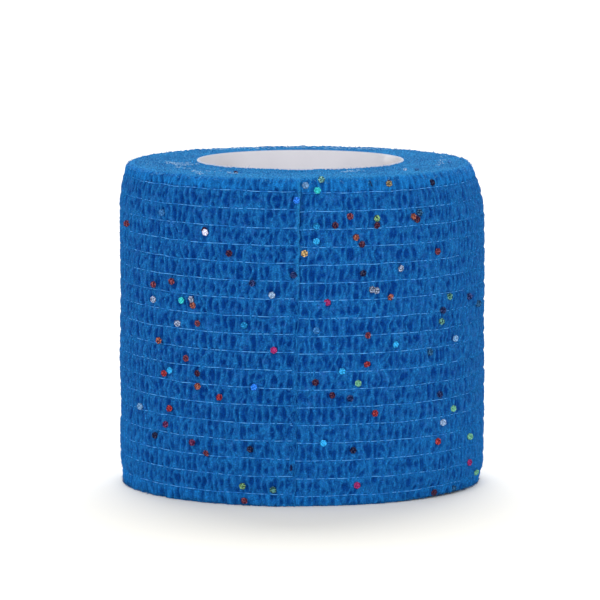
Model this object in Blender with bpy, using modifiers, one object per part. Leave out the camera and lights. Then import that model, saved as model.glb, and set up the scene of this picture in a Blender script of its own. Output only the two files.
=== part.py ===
"""Cohesive bandage roll: a crinkled elastic bandage wound on a hollow core.

Metres, +Z up.  The roll stands on one long edge of the cloth.  The origin is on the core's axis,
in the plane that the roll stands on, and the cut end of the bandage lies on the -Y side.
"""

import math
from collections import namedtuple

import bpy

# ---- Driving dimensions ----
CLOTH_WIDTH = 0.0500  # the bandage is 5 cm wide, and that is how tall the wound cloth stands
ROLL_RADIUS = 0.02827  # mean outside radius of the wound cloth
LAYER = 0.00075  # thickness of one turn of the crinkled cloth
OFF_CENTRE = 0.00036  # the cloth is wound this much thicker on its +X side
CORE_RADIUS = 0.0161  # outside radius of the core
CORE_WALL = 0.0011
CORE_PROUD = 0.0003  # how far the core stands above the cloth
CORE_EDGE = 0.0003  # radius of the core's rounded lips
CLEARANCE = 0.0003  # between the core and the first turn

# Elastic threads run round the cloth and draw it in, and the cloth puffs out between them.
THREADS = 18
THREAD_PITCH = 0.00271
TOP_THREAD = 0.04766  # height of the topmost thread
PUFF = 0.00042  # how far the cloth bulges out between two threads
PUFF_SPAN = 0.28  # a bulge is full from this share of the pitch to the same share of its end

# Soft edges of the wound cloth.
TOP_ROUND = 0.0010
FOOT_ROUND = 0.0004
BORE_ROUND = 0.0004
TURN_GROOVE = 0.00018  # depth of the groove between two turns on the roll's top
LEVEL_EDGE = 0.0014  # the long edges stay level over this much where the threads climb

# The cut end of the bandage, stuck down on the turn below it.
CUT_END = math.radians(-89.7)  # direction from the axis to the cut end, at the top
END_LEAN = math.radians(1.8)  # how far it has swung clockwise at the foot
END_STEP = math.radians(0.7)  # width of the step down on to the turn below
GROWTH_FADE = 8  # the outer turn's growth fades out over the turns inside it, by this power

STEPS = 60  # columns of faces round the roll
CORE_STEPS = 60
ROLL_ARC = 4  # straight pieces in each rounded edge of the cloth
CORE_ARC = 2
SHARP_ANGLE = math.radians(75)  # edges that turn less than this are shaded smooth

# How the winding departs from a true cylinder.  A row for each quarter turn from the cut end,
# counter-clockwise seen from above.  top_in and foot_in are how far the top and foot edges draw in,
# top_reach and foot_reach how far along the side that goes, and rise how far the threads climb.
Quarter = namedtuple("Quarter", "turn top_in top_reach foot_in foot_reach rise")
WINDING = (
    Quarter(0.00, top_in=0.0011, top_reach=0.0080, foot_in=0.0004, foot_reach=0.0045, rise=0.0),
    Quarter(0.25, top_in=0.0019, top_reach=0.0090, foot_in=0.0010, foot_reach=0.0045, rise=0.0),
    Quarter(0.50, top_in=0.0013, top_reach=0.0080, foot_in=0.0007, foot_reach=0.0050, rise=0.0003),
    Quarter(0.75, top_in=0.0012, top_reach=0.0080, foot_in=0.0004, foot_reach=0.0050, rise=0.0006),
    Quarter(1.00, top_in=0.0011, top_reach=0.0080, foot_in=0.0003, foot_reach=0.0045, rise=0.00033),
)

CLOTH_BLUE = (0.005, 0.115, 0.430)
CORE_GREY = (0.665, 0.645, 0.700)

BORE_RADIUS = CORE_RADIUS + CLEARANCE


# ---- Helpers ----
def clear_scene():
    for thing in list(bpy.data.objects):
        bpy.data.objects.remove(thing, do_unlink=True)


def new_collection(name):
    group = bpy.data.collections.new(name)
    bpy.context.scene.collection.children.link(group)
    return group


def new_material(name, colour, roughness):
    material = bpy.data.materials.new(name)
    material.use_nodes = True
    shader = material.node_tree.nodes["Principled BSDF"]
    shader.inputs["Base Color"].default_value = (*colour, 1.0)
    shader.inputs["Roughness"].default_value = roughness
    shader.inputs["Metallic"].default_value = 0.0
    return material


def arc(centre, radius, start, end, pieces):
    """Points of an arc in the XZ plane, with its angles in degrees from +X towards +Z."""
    points = []
    for index in range(pieces + 1):
        angle = math.radians(start + (end - start) * index / pieces)
        points.append((centre[0] + radius * math.cos(angle), centre[1] + radius * math.sin(angle)))
    return points


def smooth(share):
    """0 to 1 with a level start and end."""
    share = min(max(share, 0.0), 1.0)
    return share * share * (3.0 - 2.0 * share)


def turned(name, profile, steps, collection):
    """An object turned about Z from a closed (x, z) profile, with its outer side running down."""
    points = [(x, 0.0, z) for x, z in profile]
    edges = [(index, (index + 1) % len(points)) for index in range(len(points))]
    mesh = bpy.data.meshes.new(name)
    mesh.from_pydata(points, edges, [])
    thing = bpy.data.objects.new(name, mesh)
    collection.objects.link(thing)
    screw = thing.modifiers.new("turn", "SCREW")
    screw.axis = "Z"
    screw.steps = steps
    screw.render_steps = steps
    screw.merge_threshold = 0.00001
    return thing


def applied(thing, collection):
    """The object with its modifiers worked into its mesh."""
    graph = bpy.context.evaluated_depsgraph_get()
    mesh = bpy.data.meshes.new_from_object(thing.evaluated_get(graph))
    name = thing.name
    bpy.data.objects.remove(thing, do_unlink=True)
    mesh.name = name
    solid = bpy.data.objects.new(name, mesh)
    collection.objects.link(solid)
    return solid


def finish(thing, material, sharp_angle):
    thing.data.materials.clear()
    thing.data.materials.append(material)
    thing.data.shade_smooth()
    thing.data.set_sharp_from_angle(angle=sharp_angle)


# ---- The wound cloth ----
def top_turns(inner, outer):
    """Points across the roll's top, where the edge of each turn stands as a low ridge."""
    turns = round((outer - inner) / LAYER)
    pitch = (outer - inner) / turns
    points = []
    for turn in range(turns):
        points.append((inner + turn * pitch, CLOTH_WIDTH))
        points.append((inner + (turn + 0.5) * pitch, CLOTH_WIDTH - TURN_GROOVE))
    return points


def cloth_profile():
    """Half section of the wound cloth: over its top, down the ribbed side, under the foot."""
    rim = ROLL_RADIUS - TOP_ROUND
    points = [(BORE_RADIUS, CLOTH_WIDTH - BORE_ROUND)]
    points += top_turns(BORE_RADIUS + BORE_ROUND, rim)
    points += arc((rim, CLOTH_WIDTH - TOP_ROUND), TOP_ROUND, 90, 0, ROLL_ARC)
    for row in range(THREADS):
        thread = TOP_THREAD - row * THREAD_PITCH
        points.append((ROLL_RADIUS - PUFF, thread))
        if row < THREADS - 1:
            points.append((ROLL_RADIUS, thread - PUFF_SPAN * THREAD_PITCH))
            points.append((ROLL_RADIUS, thread - (1.0 - PUFF_SPAN) * THREAD_PITCH))
    points += arc((ROLL_RADIUS - FOOT_ROUND, FOOT_ROUND), FOOT_ROUND, 0, -90, ROLL_ARC)
    points.append((BORE_RADIUS + BORE_ROUND, 0.0))
    points.append((BORE_RADIUS, BORE_ROUND))
    return points


def quarter_at(turn):
    """The winding's departures at any share of a turn from the cut end."""
    for before, after in zip(WINDING, WINDING[1:]):
        if turn <= after.turn:
            share = smooth((turn - before.turn) / (after.turn - before.turn))
            return Quarter(*(a + (b - a) * share for a, b in zip(before, after)))
    return WINDING[-1]


def drawn_in(height, quarter):
    """How far the side draws in at a height, towards its top and foot edges."""
    below_top = 1.0 - min((CLOTH_WIDTH - height) / quarter.top_reach, 1.0)
    above_foot = 1.0 - min(height / quarter.foot_reach, 1.0)
    return quarter.top_in * below_top**2 + quarter.foot_in * above_foot**2


def climb(height, quarter):
    """How far the threads have climbed at a height.  Both cut edges of the cloth stay level."""
    from_foot = smooth(height / LEVEL_EDGE)
    from_top = smooth((CLOTH_WIDTH - height) / LEVEL_EDGE)
    return quarter.rise * from_foot * from_top


def wind(thing):
    """Turns the round blank into the wound one: its outer turn grows by one layer in a full turn
    and ends in a step."""
    for vertex in thing.data.vertices:
        x, y, height = vertex.co
        radius = math.hypot(x, y)
        column = round(math.atan2(y, x) / math.tau * STEPS) % STEPS
        turn = column / (STEPS - 1)
        start = CUT_END - END_LEAN * (1.0 - height / CLOTH_WIDTH)
        direction = start + turn * (math.tau - END_STEP)
        quarter = quarter_at(turn)
        outward = (radius - BORE_RADIUS) / (ROLL_RADIUS - BORE_RADIUS)
        radius += LAYER * (turn - 0.5) * outward**GROWTH_FADE
        radius += (OFF_CENTRE * math.cos(direction) - drawn_in(height, quarter)) * outward
        height += climb(height, quarter)
        vertex.co = (radius * math.cos(direction), radius * math.sin(direction), height)
    thing.data.update()


def make_bandage(collection):
    blank = turned("bandage", cloth_profile(), STEPS, collection)
    bandage = applied(blank, collection)
    wind(bandage)
    finish(bandage, new_material("crepe_blue", CLOTH_BLUE, 0.9), SHARP_ANGLE)
    return bandage


# ---- The core ----
def core_profile():
    """Half section of the core: a plain tube with rounded lips."""
    top = CLOTH_WIDTH + CORE_PROUD
    outer = CORE_RADIUS - CORE_EDGE
    inner = CORE_RADIUS - CORE_WALL + CORE_EDGE
    points = arc((inner, top - CORE_EDGE), CORE_EDGE, 180, 90, CORE_ARC)
    points += arc((outer, top - CORE_EDGE), CORE_EDGE, 90, 0, CORE_ARC)
    points += arc((outer, CORE_EDGE), CORE_EDGE, 0, -90, CORE_ARC)
    points += arc((inner, CORE_EDGE), CORE_EDGE, -90, -180, CORE_ARC)
    return points


def make_core(collection):
    core = turned("core", core_profile(), CORE_STEPS, collection)
    finish(core, new_material("core_grey", CORE_GREY, 0.45), SHARP_ANGLE)
    return core


# ---- The roll ----
clear_scene()
roll = new_collection("cohesive_bandage_roll")
make_bandage(roll)
make_core(roll)
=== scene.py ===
# %% [markdown]
# # A cohesive bandage roll
#
# This roll is five centimetres of crinkled, self-sticking bandage wound on a smooth hollow core.
# The cloth is two thin felted webs with elastic threads between them. The threads were stretched
# when the webs were stuck together, so they gather the cloth into hundreds of small upright puckers.
# Hexagonal glitter flakes are pressed into it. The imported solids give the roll's main sizes, so the
# script loads them first.

# %% Load the frame
import math
from collections import namedtuple

import bmesh
import bpy
import numpy as np
from mathutils import Matrix, Vector


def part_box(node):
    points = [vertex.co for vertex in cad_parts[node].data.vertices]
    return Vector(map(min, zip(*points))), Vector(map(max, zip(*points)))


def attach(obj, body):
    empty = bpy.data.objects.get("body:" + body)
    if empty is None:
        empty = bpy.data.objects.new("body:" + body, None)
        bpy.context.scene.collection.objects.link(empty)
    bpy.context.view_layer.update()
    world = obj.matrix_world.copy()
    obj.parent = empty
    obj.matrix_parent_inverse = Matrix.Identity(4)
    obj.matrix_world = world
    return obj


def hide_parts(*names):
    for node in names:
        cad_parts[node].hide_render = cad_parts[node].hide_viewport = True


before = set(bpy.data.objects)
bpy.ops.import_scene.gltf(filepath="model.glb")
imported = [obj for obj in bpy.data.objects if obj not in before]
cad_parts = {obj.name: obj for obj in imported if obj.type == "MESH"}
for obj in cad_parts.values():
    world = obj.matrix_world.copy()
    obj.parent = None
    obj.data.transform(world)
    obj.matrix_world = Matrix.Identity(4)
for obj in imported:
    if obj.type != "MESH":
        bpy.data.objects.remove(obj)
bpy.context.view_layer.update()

# %% [markdown]
# ## Sizes
#
# The solid of the cloth tells how wide the bandage is and how fat the roll. Small sizes are written
# in millimetres and multiplied once, because Blender's unit here is the metre.

# %% Sizes read from the frame
MM = 0.001
roll_low, roll_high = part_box("bandage")
core_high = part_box("core")[1]
WIDTH = roll_high.z  # the cloth stands this tall
ROLL = (roll_high.x - roll_low.x) / 2  # mean outside radius of the wound cloth
CORE = core_high.x  # outside radius of the core
CORE_TOP = core_high.z
BORE = CORE + 0.3 * MM  # where the first turn of cloth begins
LAYER = 0.75 * MM  # one turn of cloth
GIRTH = math.tau * ROLL
print(f"cloth {WIDTH / MM:.1f} mm wide, roll {2 * ROLL / MM:.1f} mm across, core {2 * CORE / MM:.1f} mm")

# %% [markdown]
# ## Camera
#
# The photograph looks straight at the cut end of the bandage from a little above, through a long
# lens. The place, the tilt and the lens were fitted to the roll's outline in the picture.

# %% Camera
CAMERA_AT = Vector((-0.06, -869.4, 130.7)) * MM
CAMERA_DOWN = math.radians(6.72)
SENSOR = 36.0
LENS = 336.8
FRAME_PIXELS = 600

camera_data = bpy.data.cameras.new("studio_camera")
camera_data.sensor_width = SENSOR
camera_data.lens = LENS
camera_data.clip_end = 20.0
camera = bpy.data.objects.new("studio_camera", camera_data)
camera.location = CAMERA_AT
camera.rotation_euler = (math.pi / 2 - CAMERA_DOWN, 0.0, 0.0)
bpy.context.scene.collection.objects.link(camera)
bpy.context.scene.camera = camera
print("camera", tuple(round(value, 4) for value in camera.location), "lens", LENS)

# %% [markdown]
# ## How the cloth is wound
#
# A roll is never a true cylinder. Its outer turn lies one layer further out when it has gone once
# round, the cloth is wound a little thicker on one side, and its long edges draw in. One function
# holds all of that. It takes a point of a plain round blank, given by its share of a turn from the
# cut end, its radius and its height, and says where that point lies on the wound roll. Every piece
# of cloth, thread and glitter goes through it, so they all stay together. Modifiers could bend a
# finished cylinder in the same way, but then the flakes and fibres wouldn't know where the cloth is.

# %% The wound shape
CUT_END = math.radians(-90.05)  # direction of the cut end at the top, seen from above
END_LEAN = math.radians(1.8)  # how far it has swung clockwise at the foot
RIGHT, LEFT = 0.25, 0.75  # share of a turn from the cut end, which faces the camera
OFF_CENTRE = 0.50 * MM  # the cloth is wound this much thicker on the right
GROWTH_FADE = 8  # the outer turn's growth fades out over the turns inside it, by this power
EDGE_SOFT = 1.4 * MM  # the long edges stay level over this much
# Share of a turn, then in millimetres: top draws in, over, foot draws in, over, threads climb.
WINDING = np.array([
    (0.00, 1.1, 8.0, 0.4, 4.5, 0.00),
    (0.25, 2.35, 9.0, 1.0, 4.5, 0.00),
    (0.50, 1.3, 8.0, 0.7, 5.0, 0.30),
    (0.75, 1.35, 8.0, 0.4, 5.0, 0.60),
    (1.00, 1.1, 8.0, 0.3, 4.5, 0.33),
])


def ease(share):
    """0 to 1 with a level start and end."""
    share = np.clip(share, 0.0, 1.0)
    return share * share * (3.0 - 2.0 * share)


def bell(value, centre, spread):
    """1 at the centre, and less the further away, to both sides."""
    return np.exp(-(((value - centre) / spread) ** 2))


def winding_at(turn):
    """The five departures at each share of a turn, in metres."""
    quarter = np.clip((np.asarray(turn) * 4).astype(int), 0, 3)
    share = ease(np.asarray(turn) * 4 - quarter)[..., None]
    before, after = WINDING[quarter, 1:], WINDING[quarter + 1, 1:]
    return np.moveaxis(before + (after - before) * share, -1, 0) * MM


def wound(turn, radius, height):
    """Places on the wound roll, as an array of x, y, z."""
    turn, radius, height = np.broadcast_arrays(turn, radius, height)
    top_in, top_reach, foot_in, foot_reach, climb = winding_at(turn)
    direction = CUT_END - END_LEAN * (1.0 - height / WIDTH) + turn * math.tau
    outward = np.clip((radius - BORE) / (ROLL - BORE), 0.0, None)
    drawn_in = top_in * (1.0 - np.clip((WIDTH - height) / top_reach, 0.0, 1.0)) ** 2
    drawn_in = drawn_in + foot_in * (1.0 - np.clip(height / foot_reach, 0.0, 1.0)) ** 2
    grown = radius + LAYER * (turn - 0.5) * outward**GROWTH_FADE
    grown = grown + (OFF_CENTRE * np.cos(direction) - drawn_in) * outward
    lifted = height + climb * ease(height / EDGE_SOFT) * ease((WIDTH - height) / EDGE_SOFT)
    return np.stack([grown * np.cos(direction), grown * np.sin(direction), lifted], axis=-1)


print("left limb", wound(LEFT, ROLL, WIDTH / 2).round(5))
print("right limb", wound(RIGHT, ROLL, WIDTH / 2).round(5))

# %% [markdown]
# ## Smooth random numbers
#
# Crinkled cloth is irregular at every size. A lattice of random numbers with a smooth blend between
# neighbours gives bumps of any width. Each use has its own seed, so the cloth is the same each run.

# %% A lattice of smooth noise
LATTICE = 512


def soft_noise(across, up, seed):
    """Smooth noise from -1 to 1 with bumps about one unit wide."""
    grid = np.random.default_rng(seed).uniform(-1.0, 1.0, (LATTICE, LATTICE))
    across, up = np.broadcast_arrays(across, up)
    column, line = np.floor(across).astype(int), np.floor(up).astype(int)
    share_across, share_up = ease(across - column), ease(up - line)
    corner = [
        grid[(column + a) % LATTICE, (line + b) % LATTICE]
        for a in (0, 1)
        for b in (0, 1)
    ]
    near = corner[0] + (corner[1] - corner[0]) * share_up
    far = corner[2] + (corner[3] - corner[2]) * share_up
    return near + (far - near) * share_across


sample = soft_noise(np.linspace(0.0, 99.0, 1000), 0.5, seed=1)
print("smooth noise runs from", sample.min().round(2), "to", sample.max().round(2))

# %% [markdown]
# ## Puckers
#
# Between two threads the cloth stands in upright folds about a millimetre apart. Their crests are
# pale and wander from side to side, so that two of them meet, part and close round a dark hollow.
# A cloth simulation of so many folds would take far too long, and noise has no crests that meet.
# So each row gets a crest line for each fold, with its own place, sway, width and strength. A second,
# wider spaced set crosses the first and ties the crests into a net, and a weak close set breaks up
# the hollows. To the right of the cut end the cloth is slacker, and patches of its net are finer.

# %% Crests of the folds
THREADS = 18
ROWS = THREADS + 1
THREAD_PITCH = 2.71 * MM
TOP_THREAD = 47.66 * MM
THREAD_HEIGHTS = TOP_THREAD - THREAD_PITCH * np.arange(THREADS)
STRETCHED = 0.13  # share by which the folds lie further apart a quarter turn from the cut end
SPARE_FOLDS = 6  # before the cut end, where the cloth runs on under it
FOLD_PITCH = 1.12 * MM
FoldSet = namedtuple("FoldSet", "pitch sway seed")  # sway is a share of the pitch
MAIN_FOLDS = FoldSet(FOLD_PITCH, sway=0.26, seed=11)
TIE_FOLDS = FoldSet(FOLD_PITCH * 1.6, sway=0.50, seed=12)
FINE_FOLDS = FoldSet(FOLD_PITCH * 0.70, sway=0.30, seed=20)
CLOSE_FOLDS = FoldSet(FOLD_PITCH * 0.55, sway=0.45, seed=24)


def row_at(height):
    """The row between two threads that a height lies in, and its share of the way down."""
    row = (THREAD_HEIGHTS[:, None] >= np.atleast_1d(height)).sum(0)
    bounds = np.concatenate([[WIDTH], THREAD_HEIGHTS, [0.0]])
    return row, (bounds[row] - height) / (bounds[row] - bounds[row + 1])


def fold_line(turn):
    """The length round the roll that folds are counted along, shorter where they lie further apart."""
    return GIRTH * ((1.0 - STRETCHED) * turn + STRETCHED * np.sin(2 * math.tau * turn) / (2 * math.tau))


def crests(along, row, share, folds):
    """How near each place is to the crest of a fold, from 0 in a hollow to 1 on a crest."""
    rng, pitch = np.random.default_rng(folds.seed), folds.pitch
    shape = (ROWS, int(GIRTH / pitch) + 2 * SPARE_FOLDS)
    offset = rng.uniform(-0.24, 0.24, shape) * pitch  # from its place in an even row
    swing = rng.uniform(0.1, 1.0, shape) * folds.sway * pitch
    bend = rng.uniform(0.0, math.tau, shape)  # where in its wave the crest starts
    waves = rng.uniform(3.0, 8.0, shape)  # how much of a wave it makes in a row, in radians
    sharp = rng.uniform(0.09, 0.15, shape) * pitch  # width of the crest itself
    broad = rng.uniform(0.22, 0.34, shape) * pitch  # width of the fold that it stands on
    strength = rng.uniform(0.75, 1.0, shape)
    nearest = np.floor(along / pitch).astype(int) + SPARE_FOLDS
    found = 0.0
    for step in (-1, 0, 1):
        fold = np.clip(nearest + step, 0, shape[1] - 1)
        pick = (row, fold)
        centre = (fold - SPARE_FOLDS + 0.5) * pitch + offset[pick]
        away = along - centre - swing[pick] * np.sin(share * waves[pick] + bend[pick])
        crest = 0.4 * bell(away, 0.0, sharp[pick]) + 0.6 * bell(away, 0.0, broad[pick])
        found = np.maximum(found, strength[pick] * crest)
    return found


print("main folds in a row", int(fold_line(1.0) / FOLD_PITCH))

# %% [markdown]
# ## The side of the roll
#
# The visible turn is a strip, so it starts as a flat grid and is then wrapped round the roll. That
# is also how its map for the finish is made: the flat grid is the map. The strip is split along
# threads into bands, because one mesh of all the puckers would be too heavy for an exporter. The
# lines of the grid follow the threads, so the groove at each thread stays crisp. The roll doesn't
# stand quite evenly: on one side the foot of its outer turns is lifted a hair off the floor.

# %% The line down the side that the grid follows
TOP_ROUND = 1.0 * MM
FOOT_ROUND = 0.18 * MM
TUCKED_IN = 0.40 * MM  # at both ends the strip runs on this far under the edges of the turns
RIM_LINES, TOP_ROW_LINES, ROW_CELLS, FOOT_ROW_LINES, FOOT_ROUND_LINES = 8, 7, 10, 6, 5


def side_path():
    """Down the side: how far out from the roll's radius, height, row, share of the row."""
    path = [(-TOP_ROUND - TUCKED_IN, WIDTH - 0.60 * MM), (-TOP_ROUND - 0.18 * MM, WIDTH - 0.18 * MM)]
    for angle in np.radians(np.linspace(90, 0, RIM_LINES)):
        path.append((TOP_ROUND * (math.cos(angle) - 1), WIDTH + TOP_ROUND * (math.sin(angle) - 1)))
    for height in np.linspace(WIDTH - TOP_ROUND, TOP_THREAD, TOP_ROW_LINES)[1:]:
        path.append((0.0, height))
    rows = [0] * len(path)
    shares = list(np.linspace(0, 1, len(path)))
    for row in range(1, THREADS):
        for cell in range(1, ROW_CELLS + 1):
            path.append((0.0, THREAD_HEIGHTS[row - 1] - THREAD_PITCH * cell / ROW_CELLS))
            rows.append(row)
            shares.append(cell / ROW_CELLS)
    foot_row = np.linspace(THREAD_HEIGHTS[-1], FOOT_ROUND, FOOT_ROW_LINES)[1:-1]
    foot = [(0.0, height) for height in foot_row]
    for angle in np.radians(np.linspace(0, -90, FOOT_ROUND_LINES)):
        foot.append((FOOT_ROUND * (math.cos(angle) - 1), FOOT_ROUND * (math.sin(angle) + 1)))
    foot.append((-FOOT_ROUND - TUCKED_IN, 0.0))
    path += foot
    rows += [THREADS] * len(foot)
    shares += list(np.linspace(0.15, 1, len(foot)))
    outset, height = np.array(path).T
    return outset, height, np.array(rows), np.array(shares)


SIDE = side_path()
print("lines in the side grid", len(SIDE[0]))

# %% Where the cloth is taut, slack, stuck down or lifted
PRESSED = 0.26 * MM  # how much of the step at the cut end is pressed flat
PRESSED_BELOW = 42.0 * MM
PRESSED_REACH = 3.2 * MM
FOOT_LIFT = 0.30 * MM  # the outer turns stand this much off the floor where they are highest
FOOT_LIFT_TURN = 0.16
FOOT_LIFT_SPAN = 0.055
FOOT_LIFT_UP_TO = 4.0 * MM
FELT_END = 0.60 * MM  # a strip about this wide along the cut end is flat felt
SWELL = 0.10 * MM


def taut(turn):
    """1 a quarter turn to each side of the cut end, where the cloth is pulled tight, and 0 elsewhere."""
    return bell(turn, RIGHT, 0.075) + bell(turn, LEFT, 0.065)


def slack(turn):
    """1 to the right of the cut end, where the cloth is less gathered, and 0 elsewhere."""
    return ease((turn - 0.06) / 0.10) * ease((0.40 - turn) / 0.10)


def stuck_down(turn, height):
    """Near the cut end, where the end is pressed flat below the top, the two turns level out."""
    pressed = PRESSED * ease((PRESSED_BELOW - height) / (8.0 * MM))
    before = ease(1.0 - (1.0 - turn) * GIRTH / PRESSED_REACH)
    after = ease(1.0 - turn * GIRTH / PRESSED_REACH)
    return pressed * (after - before)


def foot_lift(turn, height):
    """How far the outer turns are lifted off the floor, to the right of the cut end."""
    return FOOT_LIFT * bell(turn, FOOT_LIFT_TURN, FOOT_LIFT_SPAN) * ease(1.0 - height / FOOT_LIFT_UP_TO)


def swell(along, height):
    """Broad soft unevenness of the whole turn."""
    return SWELL * soft_noise(along / (9.0 * MM), height / (6.0 * MM), seed=14)


def near_top(height):
    """1 over the upper third of the cloth, where its cut end is felted, and 0 below."""
    return ease((height - 30.0 * MM) / (6.0 * MM))


def clear_of_end(turn, height):
    """0 on the flat strip along the cut end, which is ragged and wider near the top, and 1 elsewhere."""
    ragged = soft_noise(height / (1.7 * MM), 0.0, seed=17)
    strip = FELT_END * (0.20 + 0.75 * near_top(height) + 0.40 * ragged)
    return ease((1.0 - turn) * GIRTH / np.maximum(strip, 0.05 * MM) - 0.1)


print("lifted by", (foot_lift(FOOT_LIFT_TURN, 0.0) / MM).round(2), "mm at the most")

# %% [markdown]
# ## Relief of the crepe
#
# The net of folds says where the crests are. Between them lie the hollows, which are deepest midway
# between two threads and shallower along the cloth's top edge. The grooves along the threads and a
# little noise are added. The same function later tells flakes and fibres how far out the cloth is.

# %% Relief of the crepe
RISE = 0.20 * MM  # crests stand this far out from the roll's mean radius
PUFF = 0.26 * MM  # depth of the grooves along the threads
RIGHT_PUFF = 1.0  # share by which they are deeper on the slack side
GROOVE_REACH = 0.60 * MM
FILLED = 0.75  # share of a groove's depth that a crest fills
HOLLOW_DEPTH = 0.42 * MM
GRAIN = 0.05 * MM
TIE_STRENGTH, CLOSE_STRENGTH = 0.85, 0.50  # of their crests, where the main folds have 1
PIT_STRENGTH, TOP_ROW_STRENGTH = 0.60, 0.82  # of their hollows, likewise


def puff(turn):
    """Depth of the grooves at each share of a turn."""
    return PUFF * (1.0 + RIGHT_PUFF * bell(turn, RIGHT, 0.12))


def groove(height):
    """1 on a thread and 0 away from it."""
    gap = np.abs(np.asarray(height)[..., None] - THREAD_HEIGHTS).min(-1)
    return 1.0 - ease(gap / GROOVE_REACH)


def fold_net(turn, row, share):
    """The crests of all the sets of folds together."""
    along, counted = turn * GIRTH, fold_line(turn)
    net = crests(counted, row, share, MAIN_FOLDS)
    ties = ease(0.5 + 1.2 * soft_noise(along / (1.5 * MM), row * 1.7 + share, seed=23))
    net = np.maximum(net, TIE_STRENGTH * ties * crests(counted, row, share, TIE_FOLDS))
    fine = crests(counted, row, share, FINE_FOLDS)
    patch = ease(0.5 + 1.5 * soft_noise(along / (2.2 * MM), row * 3.7, seed=25)) * slack(turn)
    net = net + (fine - net) * patch
    return np.maximum(net, CLOSE_STRENGTH * crests(counted, row, share, CLOSE_FOLDS))


def pits(along, height):
    """Small round dents between the folds."""
    dent = soft_noise(along / (0.55 * MM), height / (0.75 * MM), seed=19)
    return ease((dent - 0.30) / 0.45)


def lens(along, row, share):
    """Folds meet again above and below each hollow, which leaves it the shape of a lens."""
    shifted = share + 0.14 * soft_noise(along / (1.1 * MM), row * 2.3, seed=22)
    closes = ease(shifted / 0.32) * ease((1.0 - shifted) / 0.32)
    return np.where(row == 0, 1.0, 0.60 + 0.40 * closes)


def hollows(turn, height, row, share, net, free):
    """How deep in a hollow each place lies, from 0 on a crest to about 1."""
    along = turn * GIRTH
    uneven = 0.90 + 0.50 * soft_noise(along / (0.6 * MM), row * 5.3 + share * 4.4, seed=18)
    between = (1.0 - net) * np.clip(uneven, 0.40, 1.3) * lens(along, row, share)
    hollow = np.maximum(between, PIT_STRENGTH * pits(along, height))
    hollow = hollow * (1.0 - 0.12 * slack(turn)) * (1.0 - 0.24 * taut(turn))
    edge = np.where(row == 0, TOP_ROW_STRENGTH * ease((share - 0.10) / 0.45), 1.0)
    return hollow * (0.3 + 0.7 * free) * (0.20 + 0.75 * edge)


def felt_and_foot_light(height, row, free):
    """How felted the cloth is at its top rim and along the cut end, and how much painted light its foot
    gets, to lift the shade where it meets the floor.
    """
    rim = ease((height - WIDTH + 0.5 * MM) / (0.5 * MM))
    felt_and_light = np.where(row == 0, 0.8 * rim, 0.0)
    felt_and_light = np.maximum(felt_and_light, 0.4 * (1.0 - free) * (0.1 + 0.9 * near_top(height)))
    # Painted light: the foot is painted paler, to lift the shade where it meets the floor.
    return np.maximum(felt_and_light, 0.6 * ease((0.5 * MM - height) / (0.4 * MM)))


def relief(turn, height, row, share):
    """How far the crinkled cloth stands out, how deep in a hollow it is, and how felted, with painted
    light at the foot.
    """
    along = turn * GIRTH
    free = clear_of_end(turn, height)
    net = fold_net(turn, row, share)
    hollow = hollows(turn, height, row, share, net, free)
    out = RISE - puff(turn) * groove(height) * (1.0 - FILLED * net) - HOLLOW_DEPTH * hollow
    out = out + swell(along, height) + stuck_down(turn, height)
    out = out + GRAIN * soft_noise(along / (0.28 * MM), height / (0.42 * MM), seed=13)
    return out, hollow, felt_and_foot_light(height, row, free)


# %% The crinkled cloth in its place
FLOOR_GAP = 0.02 * MM
RAGGED = 0.16 * MM  # how far the cut end strays from a straight line
FOOT_RUFFLE = 0.20 * MM  # how far the foot is ruffled, in and out
RIM_RUFFLE = 0.09 * MM  # how far the rim is ruffled, up and down


def painted_edge_light(height):
    """Painted light: the top row is painted paler, where light from above falls, and so is the lower
    side, to lift the shade near the floor.
    """
    top = ease((height - TOP_THREAD) / (0.4 * MM))
    foot = 0.35 * ease((16.0 * MM - height) / (10.0 * MM)) + 0.55 * ease((2.4 * MM - height) / (1.2 * MM))
    return np.maximum(top, foot)


def crepe(turn, outset, height, row, share):
    """Places on the roll of the crinkled cloth, with its hollows, and its felt and painted light."""
    out, hollow, felt_and_light = relief(turn, height, row, share)
    along = turn * GIRTH
    near_end = ease(1.0 - (1.0 - turn) * GIRTH / (1.5 * MM))
    turn = turn + RAGGED / GIRTH * near_end * soft_noise(height / (0.8 * MM), 0.0, seed=21)
    # Painted shade: the folded-down cut edge is painted at least half as dark as a hollow.
    hollow = np.where(turn * GIRTH > GIRTH + RAGGED, np.maximum(hollow, 0.45), hollow)
    rim = ease((height - WIDTH + 1.1 * MM) / (1.1 * MM))
    foot = ease((1.2 * MM - height) / (1.2 * MM))
    ruffle = soft_noise(along / (0.35 * MM), 0.0, seed=15)
    ruffle = ruffle + 0.5 * soft_noise(along / (2.0 * MM), 0.0, seed=16)
    place = wound(turn, ROLL + outset + out + FOOT_RUFFLE * foot * ruffle, height)
    place[..., 2] += rim * RIM_RUFFLE * ruffle
    place[..., 2] = np.maximum(place[..., 2], FLOOR_GAP) + foot_lift(turn, height)
    return place, hollow, felt_and_light


# %% [markdown]
# The strip doesn't stop at the cut end. Just past it the cloth of the turn below shows, so the grid
# begins a little before the end's place, underneath, and after a whole turn it comes round on top.
# Its last columns fold down on to the turn below and make the cut edge, which throws a thin shadow.

# %% Columns round the roll
COLUMNS = 1400
UNDERLAP = 2.4 * MM
CUT_FOLD = ((0.05, 0.06), (0.10, 0.25), (0.10, 0.50), (0.05, 0.70))  # mm along, mm down


def strip_columns():
    """Share of a turn and drop of each column of the grid."""
    turn = np.linspace(-UNDERLAP / GIRTH, 1.0, COLUMNS + 1 - len(CUT_FOLD))
    over = [(1.0 + along * MM / GIRTH, down * MM) for along, down in CUT_FOLD]
    drop = np.zeros_like(turn)
    return np.append(turn, [t for t, _ in over]), np.append(drop, [d for _, d in over])


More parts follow.
